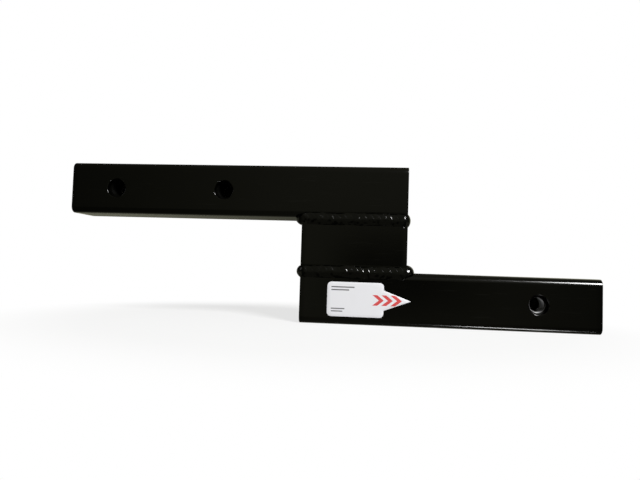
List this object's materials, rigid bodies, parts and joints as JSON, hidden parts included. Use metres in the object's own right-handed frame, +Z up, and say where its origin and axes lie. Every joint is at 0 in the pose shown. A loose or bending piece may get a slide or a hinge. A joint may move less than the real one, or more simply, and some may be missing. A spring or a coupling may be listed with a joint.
{
  "type": "hitch riser adapter",
  "caption": "Z-shaped hitch riser: three square tubes stacked and welded with rippled beads, with tapped bosses behind two pin holes for a carrier and one in the shank.",
  "frame": {"origin": "under the middle of the whole part, on the plane that the lower tube's bottom face rests on", "axes": "+X along the tubes towards the shank's free end, which goes into the vehicle; +Y away from the labelled face; +Z up, towards the upper tube"},
  "size_m": [0.5144, 0.0552, 0.1524],
  "materials": {
    "black_coat": "satin",
    "coated_weld": "gloss",
    "bare_boss": "satin",
    "label_vinyl": "satin"
  },
  "bodies": {
    "root": {"upper_tube": "black_coat", "spacer_tube": "black_coat", "lower_tube": "black_coat", "hitch_pin_boss": "bare_boss", "carrier_boss_outer": "black_coat", "carrier_boss_inner": "black_coat", "upper_weld_front": "coated_weld", "upper_weld_rear": "coated_weld", "upper_weld_fillet": "coated_weld", "upper_weld_cap": "coated_weld", "lower_weld_front": "coated_weld", "lower_weld_rear": "coated_weld", "lower_weld_fillet": "coated_weld", "lower_weld_cap": "coated_weld", "direction_label": "label_vinyl"}
  },
  "joints": []
}
